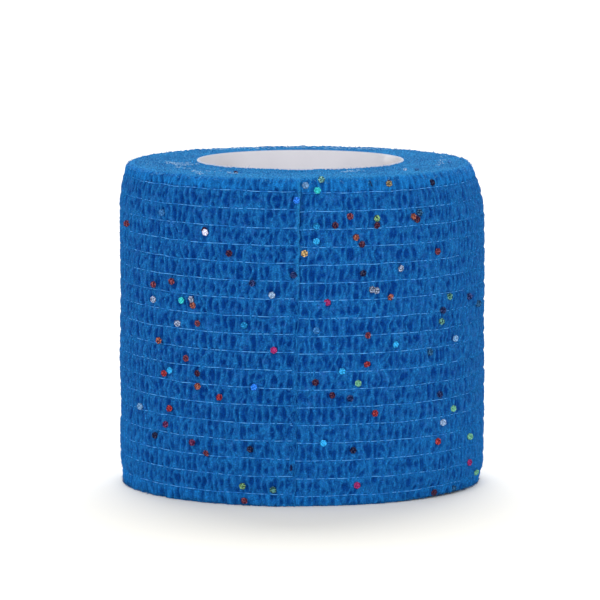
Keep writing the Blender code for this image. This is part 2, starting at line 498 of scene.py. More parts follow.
COLUMN_TURN, COLUMN_DROP = strip_columns()
print("columns", len(COLUMN_TURN), "about", round(GIRTH / COLUMNS / MM, 3), "mm apart")

# %% Grid helpers
MAP_NAME = "OFBake"


def flat_grid(columns, lines):
    """A mesh of one flat grid with its own map, and the column and line of each point."""
    bm = bmesh.new()
    bm.loops.layers.uv.new(MAP_NAME)
    bmesh.ops.create_grid(bm, x_segments=columns, y_segments=lines, size=0.5, calc_uvs=True)
    mesh = bpy.data.meshes.new("grid")
    bm.to_mesh(mesh)
    bm.free()
    flat = np.empty(len(mesh.vertices) * 3, np.float32)
    mesh.vertices.foreach_get("co", flat)
    flat = flat.reshape(-1, 3)
    column = np.rint((flat[:, 0] + 0.5) * columns).astype(int)
    line = np.rint((flat[:, 1] + 0.5) * lines).astype(int)
    return mesh, column, line


def new_piece(name, mesh):
    """An object of the mesh, placed at the origin as it is."""
    mesh.name = name
    piece = bpy.data.objects.new(name, mesh)
    bpy.context.scene.collection.objects.link(piece)
    return piece


def set_places(mesh, places):
    """Moves all the points of a mesh at once."""
    mesh.vertices.foreach_set("co", np.asarray(places, np.float32).ravel())
    mesh.update()


def set_share(mesh, name, values):
    """Stores a value for each point, which the finish reads by this name."""
    layer = mesh.attributes.new(name, "FLOAT", "POINT")
    layer.data.foreach_set("value", np.asarray(values, np.float32).ravel())


def outwards(mesh, inward_test):
    """Turns all the faces over if most of them look inwards."""
    bm = bmesh.new()
    bm.from_mesh(mesh)
    bm.normal_update()
    wrong = sum(1 if inward_test(face) else -1 for face in bm.faces)
    if wrong > 0:
        bmesh.ops.reverse_faces(bm, faces=bm.faces)
    bm.to_mesh(mesh)
    bm.free()


# %% Make the bands of the side
BANDS = (("crepe_top", 0, 5), ("crepe_upper", 5, 10), ("crepe_lower", 10, 15), ("crepe_foot", 15, 19))


def side_band(name, first_row, end_row):
    """The strip's rows from the first up to the end row, which isn't in the band any more."""
    outset, height, row, share = SIDE
    lines = np.flatnonzero((row >= first_row) & (row < end_row))
    if first_row:
        lines = np.insert(lines, 0, lines[0] - 1)  # the band begins on the last line of the one above
    mesh, column, line = flat_grid(COLUMNS, len(lines) - 1)
    pick = lines[::-1]  # the grid's first line is the lowest one
    place, hollow, felt_and_light = crepe(
        COLUMN_TURN[None, :],
        outset[pick][:, None] - COLUMN_DROP[None, :],
        height[pick][:, None],
        row[pick][:, None],
        share[pick][:, None],
    )
    set_places(mesh, place[line, column])
    set_share(mesh, "hollow", hollow[line, column])
    # Felt, and painted light at the foot.
    set_share(mesh, "felt_and_light", felt_and_light[line, column])
    # Painted light: the pale value marks the top row and the lower side, which are painted paler.
    set_share(mesh, "pale", painted_edge_light(height[pick])[line])
    mesh.shade_smooth()
    piece = new_piece(name, mesh)
    print(name, len(mesh.polygons) * 2, "triangles")
    return piece


side_pieces = [side_band(*band) for band in BANDS]

# %% [markdown]
# ## The ends of the roll
#
# Seen from above, the roll shows the long edges of all its turns, about sixteen of them, pressed
# together. Each is a low soft ridge of a spiral. The felted edges catch more light than the side.
# Counting turns outwards and adding the share of a turn round makes one ridge run on into the next.
# One grid, wrapped into a ring, holds them all. Ridges as strips of their own would leave slits.

# %% Ends of the roll
END_COLUMNS = 900
TOP_LINES = 66
FOOT_LINES = 10
RIDGE, END_FUZZ, END_SWELL = 0.10 * MM, 0.10 * MM, 0.07 * MM
NEAR_BORE = 1.6 * MM
RIM_DROP, RIM_DROP_OVER = 0.40 * MM, 0.35 * MM  # the outer edge dips under the strip of the side
NEAR_SEAM = 40  # the two sides of the grid's seam are made alike over this fraction of a turn


def roll_end(name, level, facing, lines, inner, outer, to_bore, seed):
    """One end of the roll, facing up (1) or down (-1).  Its inner edge stands out by to_bore."""
    mesh, column, line = flat_grid(END_COLUMNS, lines)
    turn = np.linspace(0.0, 1.0, END_COLUMNS + 1)[None, :]
    share = np.linspace(0.0, 1.0, lines + 1)[:, None]
    radius = inner + (outer - inner) * share
    along = turn * GIRTH
    sway = 0.22 * soft_noise(along / (0.7 * MM), radius / LAYER, seed)
    sway = sway + 0.25 * soft_noise(along / (6.0 * MM), radius / (2.0 * MM), seed + 1)
    ridge = 0.5 + 0.5 * np.cos(math.tau * ((radius - inner) / LAYER + turn + sway))
    fuzz = soft_noise(along / (0.32 * MM), radius / (0.32 * MM), seed + 2)
    broad = soft_noise(along / (5.0 * MM), radius / (3.0 * MM), seed + 126)
    height = RIDGE * (ridge - 1.0) + END_FUZZ * fuzz + END_SWELL * broad
    height = height + to_bore * ease(1.0 - (radius - inner) / NEAR_BORE)
    height = height - RIM_DROP * ease(1.0 - (outer - radius) / RIM_DROP_OVER)
    same_at_seam = ease(turn * NEAR_SEAM) * ease((1 - turn) * NEAR_SEAM)
    height = height * same_at_seam + height[:, :1] * (1 - same_at_seam)
    place = wound(turn, radius, level)
    place[..., 2] = np.maximum(level + facing * height, FLOOR_GAP)
    if facing < 0:
        place[..., 2] += foot_lift(turn, 0.0) * share**3
    set_places(mesh, place[line, column])
    shade = 0.42 * (1 - ridge) + 0.45 * (0.5 - 0.5 * fuzz) - 0.20 * broad
    set_share(mesh, "hollow", shade[line, column])
    set_share(mesh, "felt_and_light", np.ones(len(line)))
    set_share(mesh, "pale", np.zeros(len(line)))
    outwards(mesh, lambda face: face.normal.z * facing < 0)
    mesh.shade_smooth()
    return new_piece(name, mesh)


end_top = roll_end(
    "turn_edges_top", WIDTH - 0.01 * MM, 1, TOP_LINES, CORE - 0.02 * MM, ROLL - TOP_ROUND + 0.20 * MM,
    0.22 * MM, 31,
)
end_foot = roll_end(
    "turn_edges_foot", 0.12 * MM, -1, FOOT_LINES, CORE + 0.05 * MM, ROLL - FOOT_ROUND, -0.3 * MM, 41,
)
print("ends", len(end_top.data.polygons) * 2, len(end_foot.data.polygons) * 2, "triangles")

# %% [markdown]
# ## Elastic threads
#
# The threads lie in the grooves between the rows. They are paler than the cloth, and they show as a
# line of dashes, because folds close over them here and there. A poly curve with a small bevel makes
# each thread, because it needs only a route. It is then made a mesh, as an exporter needs.

# %% Threads
THREAD_RADIUS = 0.058 * MM
THREAD_POINTS = 500
THREAD_PROUD = 0.05 * MM  # the threads lie this far above the bottom of their grooves
BURIED = 0.16 * MM  # how much deeper they lie where the taut cloth has closed over them
BURIED_SPAN = 0.09


def curve_mesh(name, routes, radius):
    """One mesh of thin strands, each along a route and with its thickness at every point."""
    data = bpy.data.curves.new(name, "CURVE")
    data.dimensions = "3D"
    data.bevel_depth = radius
    data.bevel_resolution = 0
    data.use_fill_caps = True
    for route, thickness in routes:
        spline = data.splines.new("POLY")
        spline.points.add(len(route) - 1)
        spline.points.foreach_set("co", np.column_stack([route, np.ones(len(route))]).ravel())
        spline.points.foreach_set("radius", np.asarray(thickness, float))
    strand = bpy.data.objects.new(name, data)
    bpy.context.scene.collection.objects.link(strand)
    graph = bpy.context.evaluated_depsgraph_get()
    mesh = bpy.data.meshes.new_from_object(strand.evaluated_get(graph))
    bpy.data.objects.remove(strand)
    mesh.shade_smooth()
    return new_piece(name, mesh)


def thread_routes():
    """A route for each thread, which ends a little short of the cut end."""
    rng = np.random.default_rng(51)
    routes = []
    for number, height in enumerate(THREAD_HEIGHTS):
        crept_back = rng.uniform(0.2, 0.8) * MM / GIRTH
        turn = np.linspace(-UNDERLAP / GIRTH * 0.9, 1.0 - crept_back, THREAD_POINTS)
        along = turn * GIRTH
        wander = 0.09 * MM * soft_noise(along / (2.4 * MM), number * 3.3, seed=52)
        dip = 0.12 * MM * soft_noise(along / (0.9 * MM), number * 5.7, seed=53)
        closed = bell(turn, RIGHT, BURIED_SPAN) + bell(turn, LEFT, BURIED_SPAN)
        radius = ROLL + RISE - puff(turn) + THREAD_PROUD + dip - BURIED * closed
        radius = radius + swell(along, height) + stuck_down(turn, height)
        route = wound(turn, radius, height + wander)
        route[:, 2] += foot_lift(turn, height)
        routes.append((route, np.ones(THREAD_POINTS)))
    return routes


threads = curve_mesh("elastic_threads", thread_routes(), THREAD_RADIUS)
print("threads", len(threads.data.polygons) * 2, "triangles")

# %% [markdown]
# ## Glitter
#
# The flakes are hexagons of coloured foil about a millimetre across. Where the photograph shows a
# clear one, its place was noted as the pixel it is seen at. A ray from the camera through that pixel
# meets the roll at the flake's real place. The rest, round the back and under the foot, are scattered.
# Each flake is a low cone with two equal ends, a prism of six sides, and all are one mesh.

# %% Where the clear flakes are seen, by the colour of their foil
FLAKES_SEEN = {
    "white": [(204, 232)],
    "pale": [(271, 295), (405, 170), (443, 422)],
    "misty": [(305, 185), (139, 406), (456, 338)],
    "silver": [(190, 299), (152, 299), (176, 323), (401, 268), (372, 289), (376, 290)],
    "red": [(168, 408), (438, 441), (218, 397), (367, 364), (375, 413), (162, 373)],
    "copper": [(413, 216), (196, 386), (356, 237), (391, 297), (158, 340), (191, 305)],
    "rust": [(152, 284), (184, 358), (350, 216), (438, 251), (368, 335), (170, 281),
             (196, 323), (243, 501), (205, 453), (126, 223)],
    "maroon": [(434, 492), (228, 253), (335, 225), (377, 225), (417, 219), (362, 244),
               (315, 382), (332, 395), (235, 173), (196, 373), (203, 230)],
    "dark": [(293, 275), (469, 296), (444, 310), (350, 398), (440, 394), (290, 468), (251, 283)],
    "magenta": [(327, 302), (273, 350), (470, 462), (357, 485)],
    "plum": [(164, 424), (191, 442)],
    "gold": [(304, 253)],
    "brass": [(389, 183)],
    "lime": [(377, 218), (241, 486)],
    "mint": [(358, 383), (453, 408), (470, 436), (476, 472)],
    "green": [(450, 296), (442, 321), (272, 490)],
    "pine": [(453, 488), (420, 212), (478, 303), (431, 352)],
    "sage": [(321, 179)],
    "teal": [(317, 190), (180, 300)],
    "cyan": [(316, 241), (168, 370), (396, 344), (342, 371), (323, 443)],
    "sky": [(316, 226), (243, 325)],
    "haze": [(316, 330), (160, 212), (450, 162), (417, 170)],
    "royal": [(296, 200), (253, 387)],
    "black": [(432, 182), (371, 183), (363, 273), (153, 435), (249, 449), (353, 450)],
}
FOIL = {
    "white": (0.60, 0.60, 0.80),
    "pale": (0.25, 0.38, 0.59),
    "misty": (0.14, 0.29, 0.52),
    "silver": (0.20, 0.25, 0.37),
    "red": (0.25, 0.016, 0.010),
    "copper": (0.22, 0.060, 0.030),
    "rust": (0.120, 0.020, 0.024),
    "maroon": (0.040, 0.004, 0.010),
    "dark": (0.006, 0.020, 0.095),
    "magenta": (0.28, 0.018, 0.115),
    "plum": (0.090, 0.008, 0.048),
    "gold": (0.46, 0.30, 0.110),
    "brass": (0.15, 0.115, 0.050),
    "lime": (0.13, 0.27, 0.105),
    "mint": (0.125, 0.36, 0.225),
    "sage": (0.10, 0.26, 0.24),
    "green": (0.048, 0.165, 0.130),
    "pine": (0.006, 0.070, 0.170),
    "teal": (0.022, 0.43, 0.47),
    "cyan": (0.020, 0.34, 0.76),
    "sky": (0.006, 0.20, 0.50),
    "haze": (0.025, 0.140, 0.380),
    "royal": (0.016, 0.165, 0.72),
    "black": (0.002, 0.003, 0.020),
}
# These foils get half as much of the painted glints, and the others all of them.
EVEN_FOIL = {"white", "pale", "misty", "magenta", "mint", "teal", "cyan", "sky", "haze", "royal"}
print("clear flakes", sum(map(len, FLAKES_SEEN.values())))

# %% From a pixel to the roll
PIXELS_PER_SLOPE = FRAME_PIXELS * LENS / SENSOR
RESTS_AT = 0.40 * MM  # a flake's middle lies about this far outside the roll's mean radius
ROUNDS = 4  # the roll isn't a true cylinder, so the ray meets one that is corrected each time


def ray_through(x, y):
    """The direction from the camera through a pixel of the frame."""
    half = FRAME_PIXELS / 2
    local = Vector(((x + 0.5 - half) / PIXELS_PER_SLOPE, -(y + 0.5 - half) / PIXELS_PER_SLOPE, -1.0))
    return (camera.rotation_euler.to_matrix() @ local).normalized()


def on_top(pixel):
    """The place on the roll's top that is seen at a pixel."""
    ray = ray_through(*pixel)
    return CAMERA_AT + ray * ((WIDTH - CAMERA_AT.z) / ray.z)


def turn_at(place):
    """Share of a turn from the cut end at a place on the roll's side."""
    start = CUT_END - END_LEAN * (1.0 - place.z / WIDTH)
    return ((math.atan2(place.y, place.x) - start) / math.tau) % 1.0


def seen_on_side(ray):
    """Share of a turn and height on the blank where a ray meets the side, or passes it closest."""
    radius, climbed = ROLL, 0.0
    for _ in range(ROUNDS):
        a = ray.x**2 + ray.y**2
        b = CAMERA_AT.x * ray.x + CAMERA_AT.y * ray.y
        c = CAMERA_AT.x**2 + CAMERA_AT.y**2 - radius**2
        place = CAMERA_AT + ray * ((-b - math.sqrt(max(b * b - a * c, 0.0))) / a)
        turn, height = turn_at(place), place.z - climbed
        surface = Vector(wound(turn, ROLL + RESTS_AT, height))
        radius, climbed = surface.xy.length, surface.z + foot_lift(turn, height) - height
    return turn, height


# %% Lay the flakes on the cloth
FLAKE_RADIUS = 0.57 * MM
FLAKE_THICK = 0.04 * MM
FLAKE_SIDES = 6
FLAKE_BORDER = 0.07 * MM
PROBES = 5  # the cloth under a flake is felt at this many places each way
RESTS_ON = 0.95  # a flake rests this high among the places felt, from 0 lowest to 1 highest
STANDS_FROM = math.radians(30)  # flakes further round than this stand up on one edge
STANDS_MOST = math.radians(32)
STACKED = 2.2 * FLAKE_RADIUS  # a flake this near to an earlier one lies on top of it
HALF_HIDDEN = 0.62  # flakes caught between the turns' edges show less of themselves
EDGE_ON = {(371, 183), (290, 468)}  # seen flakes that are turned away from the camera
EDGE_ON_STANDS = math.radians(-58)
EDGE_ON_SUNK = 0.45 * FLAKE_RADIUS  # they are caught between two folds
SCATTERED = 150
ON_FOOT = 8


def flake_matrix(place, outward, rng, tilt):
    """Turns a flat hexagon to lie on the cloth, a little askew."""
    lean = Vector((rng.normal(0, tilt), rng.normal(0, tilt), rng.normal(0, tilt)))
    face = (outward + lean).normalized()
    turn = Matrix.Rotation(rng.uniform(0, math.tau), 4, "Z")
    return Matrix.Translation(place) @ face.to_track_quat("Z", "Y").to_matrix().to_4x4() @ turn


def side_flake(turn, height, rng, tilt=0.16, stands=0.0, lift=0.0):
    """A flake that rests on the highest folds under it, or stands up on one edge by an angle."""
    across = np.linspace(-0.8, 0.8, PROBES) * FLAKE_RADIUS
    turns, heights = (part.ravel() for part in np.meshgrid(turn + across / GIRTH, height + across))
    row, share = row_at(heights)
    out = relief(turns, heights, row, share)[0]
    raised = FLAKE_THICK + lift + 0.55 * FLAKE_RADIUS * abs(math.sin(stands))
    radius = ROLL + np.quantile(out, RESTS_ON) + raised
    lifted = Vector((0.0, 0.0, foot_lift(turn, height)))
    middle = Vector(wound(turn, radius, height)) + lifted
    below = Vector(wound(turn, radius, height - FLAKE_RADIUS)) + lifted
    along = Vector((-middle.y, middle.x, 0.0))
    outward = along.cross(middle - below).normalized()
    if stands:
        side = math.copysign(1.0, middle.x)
        outward = Matrix.Rotation(-side * stands, 3, "Z") @ outward
    return flake_matrix(middle, outward, rng, tilt)


def end_flake(turn, radius, facing, rng):
    """A flake on the turns' edges, at the top (1) or the foot (-1).  At the top it leans forward."""
    level = WIDTH + 0.16 * MM if facing > 0 else 0.08 * MM
    place = Vector(wound(turn, radius, level))
    place.z = level
    if facing > 0:
        return flake_matrix(place, Vector((0.0, -0.7, 1.0)), rng, 0.15) @ Matrix.Scale(HALF_HIDDEN, 4)
    return flake_matrix(place, Vector((0.0, 0.0, -1.0)), rng, 0.02)


def seen_flakes(rng):
    """The flakes noted in the photograph, the dark ones first, so that pale ones lie on top."""
    found = []
    for foil, pixels in reversed(FLAKES_SEEN.items()):
        for pixel in pixels:
            ray = ray_through(*pixel)
            level = on_top(pixel)
            if level.xy.length < ROLL - TOP_ROUND:
                turn, radius = turn_at(level), level.xy.length
                drawn_in = radius - Vector(wound(turn, radius, WIDTH)).xy.length
                found.append((end_flake(turn, radius + drawn_in, 1, rng), foil))
                continue
            turn, height = seen_on_side(ray)
            height = max(height, FLAKE_RADIUS + FLAKE_THICK)
            here = Vector(wound(turn, ROLL, height))
            under = sum((matrix.translation - here).length < STACKED for matrix, _ in found)
            away = abs(math.atan2(here.x, -here.y))
            stands, lift = min(max(away - STANDS_FROM, 0.0), STANDS_MOST), under * 4 * FLAKE_THICK
            if pixel in EDGE_ON:
                stands, lift = EDGE_ON_STANDS, -EDGE_ON_SUNK
            found.append((side_flake(turn, height, rng, 0.10, stands, lift), foil))
    return found


def all_flakes():
    """The matrix and foil of every flake."""
    rng = np.random.default_rng(61)
    found = seen_flakes(rng)
    names = [foil for foil, pixels in FLAKES_SEEN.items() for _ in pixels]
    for _ in range(SCATTERED):
        turn = rng.uniform(0.27, 0.74)
        height = rng.uniform(1.0, WIDTH / MM - 1.5) * MM
        found.append((side_flake(turn, height, rng), names[rng.integers(len(names))]))
    for _ in range(ON_FOOT):
        turn, radius = rng.uniform(0.0, 1.0), rng.uniform(BORE + 1.5 * MM, ROLL - 2.5 * MM)
        found.append((end_flake(turn, radius, -1, rng), names[rng.integers(len(names))]))
    return found


def glitter_piece(flakes):
    """All flakes in one mesh, each a thin prism whose border gets a painted shadow."""
    bm = bmesh.new()
    foil_layer = bm.verts.layers.float_color.new("foil")
    # The border of each flake is marked for a painted shadow.
    edge_shadow_layer = bm.verts.layers.float.new("edge_shadow")
    rng = np.random.default_rng(62)
    for matrix, foil in flakes:
        glint = rng.uniform(0.85, 1.15)
        made = bmesh.ops.create_cone(
            bm, cap_ends=True, segments=FLAKE_SIDES, radius1=FLAKE_RADIUS, radius2=FLAKE_RADIUS,
            depth=FLAKE_THICK, matrix=matrix,
        )
        for vert in made["verts"]:
            # How much of the painted glints the foil gets.
            glint_share = 0.5 if foil in EVEN_FOIL else 1.0
            vert[foil_layer] = (*(glint * part for part in FOIL[foil]), glint_share)
            vert[edge_shadow_layer] = 1.0
    caps = [face for face in bm.faces if len(face.verts) == FLAKE_SIDES]
    bmesh.ops.inset_individual(bm, faces=caps, thickness=FLAKE_BORDER)
    for cap in caps:
        for vert in cap.verts:
            vert[edge_shadow_layer] = 0.0
    mesh = bpy.data.meshes.new("glitter")
    bm.to_mesh(mesh)
    bm.free()
    return new_piece("glitter", mesh)


flakes = all_flakes()
glitter = glitter_piece(flakes)
print("flakes", len(flakes), "with", len(glitter.data.polygons), "faces")

# %% [markdown]
# ## Loose fibres
#
# The webs are felt, and single fibres stand off the rims, the cut end and the turns' edges. They
# blur the outline a little. Blender's hair would do for a picture, but an exporter needs a mesh, so
# fine curves make them too, each a short bent hair. Those on the top are a piece of their own,
# because the rubbed edges of the turns are paler than the side.

# %% Fibres
FIBRE_RADIUS = 0.019 * MM
NAP_RADIUS = 0.025 * MM
FOOT_FIBRE = 1.7  # the fibres round the foot are bundles, and this much thicker
LOWEST = 0.04 * MM  # the middle of a fibre that lies on the floor
HAIR_POINTS = 3
ROOTED = 0.03 * MM  # a fibre starts this far inside the cloth
ON_SIDE, AT_FOOT, AT_END = 3200, 2000, 120
ON_RIM, ON_TOP = 1300, 2300
RIM_ARC = 1.3  # fibres stand on the rounded rim from its outside up to this angle, in radians


def hair(place, outward, length, rng):
    """A short bent fibre that starts on the cloth and tapers to half its thickness."""
    way = (outward + Vector(rng.normal(0, 0.65, 3))).normalized()
    bend = Vector(rng.normal(0, 0.5, 3))
    route, here = [], place - outward * ROOTED
    for _ in range(HAIR_POINTS):
        route.append(here.copy())
        way = (way + bend * 0.5).normalized()
        here = here + way * length / (HAIR_POINTS - 1)
        here.z = max(here.z, LOWEST)
    return np.array(route), np.linspace(1.0, 0.5, HAIR_POINTS)


def roots(turn, height):
    """Places on the crinkled side where fibres start."""
    row, share = row_at(height)
    out = relief(turn, height, row, share)[0]
    places = wound(turn, ROLL + out, height)
    places[:, 2] += foot_lift(turn, height)
    return [Vector(place) for place in places]


def side_fibres():
    """Fibres over the side, round the foot and along the cut end."""
    rng = np.random.default_rng(71)
    routes = []
    over_side = roots(rng.uniform(0, 1, ON_SIDE), rng.uniform(0.3, WIDTH / MM - 1, ON_SIDE) * MM)
    for place in over_side:
        outward = Vector((place.x, place.y, 0)).normalized()
        routes.append(hair(place, outward * 0.8, rng.uniform(0.25, 0.55) * MM, rng))
    round_foot = roots(rng.uniform(0, 1, AT_FOOT), rng.uniform(0.05, 0.35, AT_FOOT) * MM)
    for place in round_foot:
        outward = Vector((place.x, place.y, -0.3 * ROLL)).normalized()
        route, thickness = hair(place, outward, rng.uniform(0.20, 0.45) * MM, rng)
        routes.append((route, thickness * FOOT_FIBRE))
    at_end = roots(np.ones(AT_END), rng.uniform(0.5, WIDTH / MM - 0.5, AT_END) * MM)
    for place in at_end:
        routes.append(hair(place, Vector((0.8, -0.5, 0)), rng.uniform(0.2, 0.45) * MM, rng))
    return routes


def top_fibres():
    """Fibres on the top's rounded rim and over the edges of the turns."""
    rng = np.random.default_rng(72)
    routes = []
    for _ in range(ON_RIM):
        turn, across = rng.uniform(0, 1), rng.uniform(0, RIM_ARC)
        outset = TOP_ROUND * (math.cos(across) - 1)
        height = WIDTH + TOP_ROUND * (math.sin(across) - 1)
        place = Vector(wound(turn, ROLL + 0.5 * RISE + outset, height))
        outward = Vector((place.x, place.y, ROLL * math.tan(across))).normalized()
        routes.append(hair(place, outward, rng.uniform(0.20, 0.50) * MM, rng))
    for _ in range(ON_TOP):
        radius = rng.uniform(BORE, ROLL - TOP_ROUND)
        place = Vector(wound(rng.uniform(0, 1), radius, WIDTH))
        routes.append(hair(place, Vector((0, 0, 0.5)), rng.uniform(0.25, 0.8) * MM, rng))
    return routes


fibres = curve_mesh("loose_fibres", side_fibres(), FIBRE_RADIUS)
nap = curve_mesh("top_nap", top_fibres(), NAP_RADIUS)
print("fibres", len(fibres.data.polygons) * 2, "and", len(nap.data.polygons) * 2, "triangles")

# %% [markdown]
# ## Lint
#
# In a few places on the top, the fibres have been rubbed into pale tangles. Each was noted by the
# two pixels that it runs between, and the same rays find it on the roll's top.

# %% Lint
LINT_RADIUS = 0.034 * MM
LINT_POINTS = 5
LINT_SEEN = (  # from this pixel, to this one, number of fibres
    ((165, 161), (178, 165), 26),
    ((175, 164), (186, 169), 12),
    ((188, 162), (183, 166), 18),
    ((190, 165), (197, 163), 8),
    ((193, 171), (201, 174), 12),
    ((446, 153), (438, 166), 14),
    ((336, 172), (362, 171), 16),
    ((205, 171), (240, 174), 14),
    ((205, 150), (300, 147), 50),
    ((300, 147), (400, 150), 45),
)


def lint_routes():
    """Tangled fibres, which start near the line between two pixels and wander off it."""
    rng = np.random.default_rng(81)
    routes = []
    for first, last, count in LINT_SEEN:
        start, end = on_top(first), on_top(last)
        for _ in range(count):
            here = start.lerp(end, rng.uniform(0, 1))
            here += Vector((rng.normal(0, 0.25), rng.normal(0, 0.7), 0)) * MM
            way = ((end - start).normalized() + Vector(rng.normal(0, 0.8, 3))).normalized()
            route = []
            for _ in range(LINT_POINTS):
                route.append((here.x, here.y, WIDTH + rng.uniform(0.02, 0.22) * MM))
                way = (way + Vector((rng.normal(0, 0.5), rng.normal(0, 0.5), 0))).normalized()
                here = here + way * rng.uniform(0.10, 0.30) * MM
            routes.append((np.array(route), np.ones(len(route))))
    return routes


lint = curve_mesh("lint", lint_routes(), LINT_RADIUS)
print("lint", len(lint.data.polygons) * 2, "triangles")

# %% [markdown]
# ## The core
#
# The core is a plain smooth tube with rounded lips. Half of its section is drawn once and spun
# round the axis. It stands a hair above the cloth, and its wall has a slight crease near the top on
# the right, where it was pinched. By the crease and towards the two sides of its inside wall it gets
# patches of brownish painted shade, and the top of its lip gets painted shade too.

# %% Core
CORE_WALL = 1.1 * MM
LIP = 0.10 * MM
FLARE = 7.0 * MM  # the bore widens over this much towards the top
FLARE_WALL = 0.36 * MM
SPIN_STEPS = 144
INSIDE_LINES, LIP_LINES = 30, 5
CREASE_TURN = math.radians(27)  # direction of the crease, seen from above
CREASE_SPREAD = 0.09
CREASE_DOWN = 1.4 * MM  # the crease is deepest this far below the lip
CREASE_DEPTH = 0.8 * MM
# Patches of brownish painted shade on the inside: direction and how far down, the spread of both, and how
# strong.
CoreShade = namedtuple("CoreShade", "direction down around over strength")
CORE_SHADES = (
    CoreShade(CREASE_TURN - 0.10, 2.2 * MM, 0.13, 1.3 * MM, 1.0),
    CoreShade(math.radians(142), 3.0 * MM, 0.20, 1.8 * MM, 0.6),
    CoreShade(math.radians(40), 4.0 * MM, 0.20, 1.8 * MM, 0.6),
    CoreShade(math.radians(12), 2.0 * MM, 0.20, 1.8 * MM, 0.5),
    CoreShade(math.radians(165), 2.0 * MM, 0.20, 1.8 * MM, 0.4),
)


def core_section():
    """Half section of the tube, from its inside foot round to its outside foot."""
    inner, mouth, outer = CORE - CORE_WALL, CORE - FLARE_WALL, CORE
    section = [(inner + LIP, 0.0), (inner, LIP)]
    for height in np.linspace(LIP, CORE_TOP - FLARE, 4)[1:]:
        section.append((inner, height))
    for share in np.linspace(0, 1, INSIDE_LINES + 1)[1:]:
        section.append((inner + (mouth - inner) * share, CORE_TOP - FLARE + (FLARE - LIP) * share))
    for angle in np.radians(np.linspace(180, 90, LIP_LINES)[1:]):
        section.append((mouth + LIP + LIP * math.cos(angle), CORE_TOP - LIP + LIP * math.sin(angle)))
    for angle in np.radians(np.linspace(90, 0, LIP_LINES)):
        section.append((outer - LIP + LIP * math.cos(angle), CORE_TOP - LIP + LIP * math.sin(angle)))
    section += [(outer, LIP), (outer - LIP, 0.0)]
    return section


def core_shade_at(direction, down):
    """How much painted shade the inside of the core gets, from 0 to 1."""
    return max(
        shade_patch.strength * bell(direction, shade_patch.direction, shade_patch.around) * bell(down, shade_patch.down, shade_patch.over)
        for shade_patch in CORE_SHADES
    )


def make_core():
    """The tube, spun from its section, then creased and marked for painted shade."""
    bm = bmesh.new()
    verts = [bm.verts.new((x, 0.0, max(z, FLOOR_GAP))) for x, z in core_section()]
    edges = [bm.edges.new((a, b)) for a, b in zip(verts, verts[1:] + verts[:1])]
    bmesh.ops.spin(
        bm, geom=verts + edges, cent=(0, 0, 0), axis=(0, 0, 1), angle=math.tau, steps=SPIN_STEPS,
        use_merge=True,
    )
    bmesh.ops.recalc_face_normals(bm, faces=bm.faces)
    core_shade = bm.verts.layers.float.new("core_shade")
    lip_shade = bm.verts.layers.float.new("lip_shade")
    for vert in bm.verts:
        radius = vert.co.xy.length
        direction, down = math.atan2(vert.co.y, vert.co.x), CORE_TOP - vert.co.z
        inside = min((CORE - radius) / FLARE_WALL, 1.0)
        creased = bell(direction, CREASE_TURN, CREASE_SPREAD) * bell(down, CREASE_DOWN, CREASE_DOWN)
        vert.co.xy *= 1.0 - CREASE_DEPTH / radius * creased * inside
        # Painted shade: brownish patches on the inside, by the crease and towards the sides.
        vert[core_shade] = core_shade_at(direction, down) if vert.co.xy.length < CORE - LIP else 0.0
        # Painted shade: the top of the lip is painted darker, so that the light it catches doesn't read
        # as a bright ring.
        vert[lip_shade] = 1.0 if down < 0.5 * LIP else 0.0
    mesh = bpy.data.meshes.new("core_tube")
    bm.to_mesh(mesh)
    bm.free()
    mesh.shade_smooth()
    mesh.set_sharp_from_angle(angle=math.radians(60))
    return new_piece("core_tube", mesh)


core_tube = make_core()
print("core", len(core_tube.data.polygons), "faces")

# %% [markdown]
# ## Finishes
#
# Each finish is a small node tree. The crepe reads three values that the mesh carries: how deep in a
# hollow a point is, how felted it is, with painted light at its foot, and how near it is to the top row
# or the foot, which get painted light. Hollows are painted a darker, purer blue: partly painted shade,
# partly the deeper dye of the fibre there. Noise in object space mottles the colours.

# %% Node helpers
PLAIN_GLOSS = 0.5  # what the shader starts with


def new_finish(name, roughness, gloss=PLAIN_GLOSS):
    """A material with one shader, and how rough and how glossy it is."""
    material = bpy.data.materials.new(name)
    material.use_nodes = True
    shader = material.node_tree.nodes["Principled BSDF"]
    shader.inputs["Roughness"].default_value = roughness
    shader.inputs["Specular IOR Level"].default_value = gloss
    return material, material.node_tree, shader


def add_node(tree, kind, **settings):
    """A new node.  A setting is one of its sockets or else one of its properties."""
    made = tree.nodes.new(kind)
    for name, value in settings.items():
        if name in made.inputs:
            made.inputs[name].default_value = value
        else:
            setattr(made, name, value)
    return made


def carried(tree, name, output="Fac"):
    """A value that the mesh carries at its points."""
    return add_node(tree, "ShaderNodeAttribute", attribute_name=name).outputs[output]


def mix_colours(tree, share, first, second, blend="MIX"):
    """A colour mix whose share and two colours are sockets or plain values."""
    made = add_node(tree, "ShaderNodeMix", data_type="RGBA", blend_type=blend)
    for socket, value in ((made.inputs[0], share), (made.inputs[6], first), (made.inputs[7], second)):
        if isinstance(value, bpy.types.NodeSocket):
            tree.links.new(value, socket)
        else:
            socket.default_value = (*value, 1.0) if isinstance(value, tuple) else value
    return made.outputs[2]


def stretched(tree, value, low, high, to_low=0.0, to_high=1.0):
    """A value taken from one range to another."""
    made = add_node(tree, "ShaderNodeMapRange")
    bounds = {"From Min": low, "From Max": high, "To Min": to_low, "To Max": to_high}
    for socket, bound in bounds.items():
        made.inputs[socket].default_value = bound
    tree.links.new(value, made.inputs["Value"])
    return made.outputs["Result"]


def weakened(tree, value, most):
    """A share from 0 to 1, brought down to at most this much."""
    return stretched(tree, value, 0.0, 1.0, 0.0, most)


